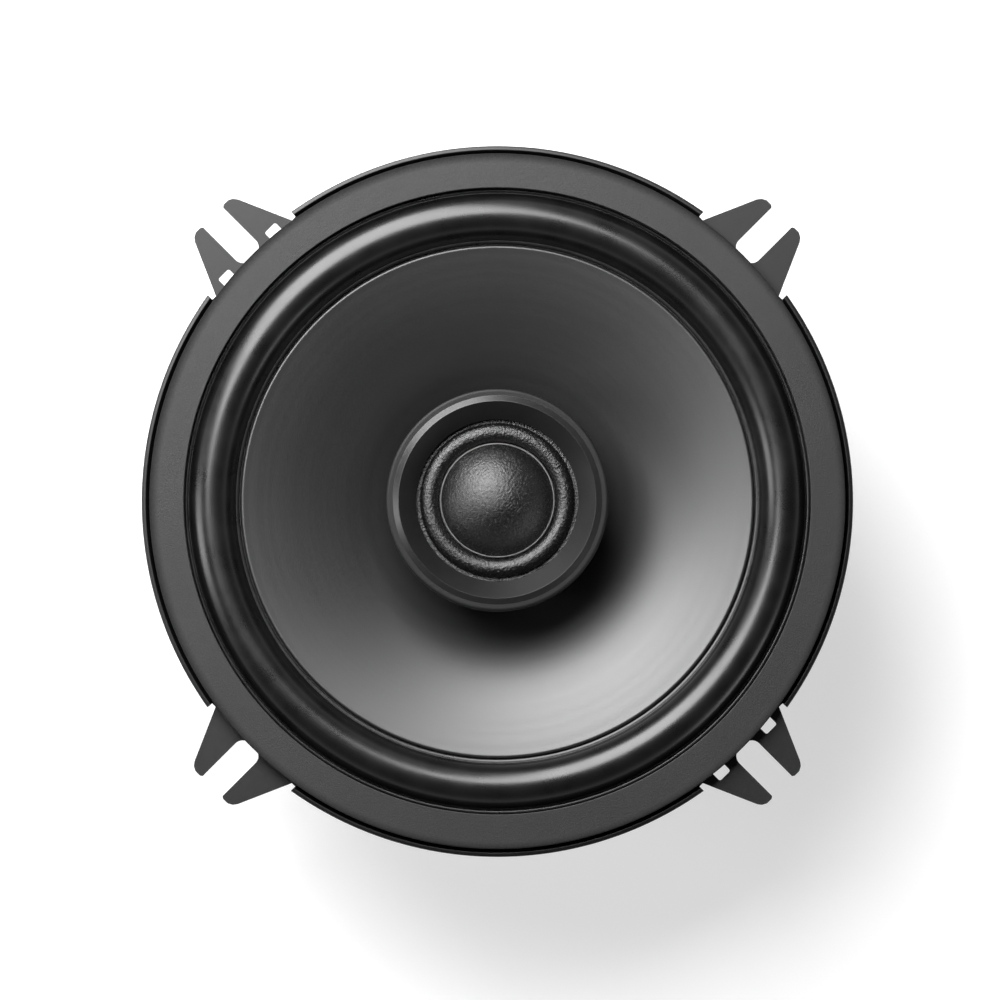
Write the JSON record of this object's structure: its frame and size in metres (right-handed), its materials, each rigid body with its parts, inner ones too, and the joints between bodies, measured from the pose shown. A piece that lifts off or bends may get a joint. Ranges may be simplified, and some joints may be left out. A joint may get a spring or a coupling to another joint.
{
  "type": "coaxial car speaker",
  "caption": "Round coaxial car speaker: pressed steel frame with slotted mounting ears, cone woofer with rubber half-roll surround, and a post-mounted dome tweeter at its centre.",
  "frame": {"origin": "centre of the magnet's rear face, on the sound axis", "axes": "+Z along the sound axis, towards the listener; the ear pairs lie on X and Y, and the terminals are on the -X side"},
  "size_m": [0.152, 0.152, 0.0593],
  "materials": {
    "black_steel": "satin black coated pressed steel",
    "gasket": "matte fine-grained foam rubber",
    "surround_rubber": "smooth semi-gloss butyl rubber",
    "cone": "satin dark grey filled polypropylene",
    "former": "amber polyimide film",
    "copper": "enamelled copper wire, close wound",
    "spider_cloth": "resin-dipped woven cotton",
    "plated_steel": "zinc-plated turned or pressed steel",
    "ferrite": "ground ferrite ceramic",
    "phenolic": "brown paper phenolic board",
    "tinned_brass": "tinned brass sheet",
    "capacitor_sleeve": "shrink sleeve on an aluminium can, tinned leads",
    "copper_braid": "braided copper tinsel",
    "red_wire": "red wire insulation",
    "black_wire": "black wire insulation",
    "black_plastic": "moulded black plastic with a satin face",
    "nickel": "nickel-plated neodymium magnet",
    "felt": "grey wool felt",
    "dome_cloth": "black coated woven dome cloth"
  },
  "bodies": {
    "frame": {"basket_frame": "black_steel", "front_gasket": "gasket", "surround": "surround_rubber", "spider": "spider_cloth", "yoke": "plated_steel", "magnet_ring": "ferrite", "top_plate": "plated_steel", "frame_rivet_1": "black_steel", "frame_rivet_2": "black_steel", "frame_rivet_3": "black_steel", "frame_rivet_4": "black_steel", "terminal_board": "phenolic", "terminal_positive": "tinned_brass", "terminal_negative": "tinned_brass", "terminal_rivet_positive": "plated_steel", "terminal_rivet_negative": "plated_steel", "board_rivet": "plated_steel", "crossover_tag": "tinned_brass", "crossover_tag_rivet": "plated_steel", "crossover_capacitor": "capacitor_sleeve", "tinsel_lead_positive": "copper_braid", "tinsel_lead_negative": "copper_braid", "tweeter_wire_positive": "red_wire", "tweeter_wire_negative": "black_wire", "tweeter_bolt": "plated_steel", "tweeter_spacer": "black_plastic", "rear_washer": "plated_steel", "rear_nut": "plated_steel", "tweeter_housing": "black_plastic", "tweeter_bezel": "black_plastic", "tweeter_pot": "plated_steel", "tweeter_magnet": "nickel", "tweeter_pole_plate": "plated_steel", "tweeter_felt_pad": "felt", "tweeter_surround": "dome_cloth", "tweeter_lug_positive": "tinned_brass", "tweeter_lug_negative": "tinned_brass"},
    "woofer_cone": {"cone": "cone", "voice_coil_former": "former", "voice_coil_winding": "copper"},
    "tweeter_dome": {"tweeter_dome": "dome_cloth", "tweeter_coil_former": "former", "tweeter_coil_winding": "copper"}
  },
  "joints": [
    {"name": "woofer_travel", "type": "slide", "parent": "frame", "child": "woofer_cone", "axis": [0, 0, 1], "range_m": [-0.004, 0.004], "stiffness_N_per_m": 1400, "deforming": ["surround", "spider", "tinsel_lead_positive", "tinsel_lead_negative"]},
    {"name": "tweeter_travel", "type": "slide", "parent": "frame", "child": "tweeter_dome", "axis": [0, 0, 1], "range_m": [-0.0003, 0.0003], "stiffness_N_per_m": 300, "deforming": ["tweeter_surround"]}
  ]
}
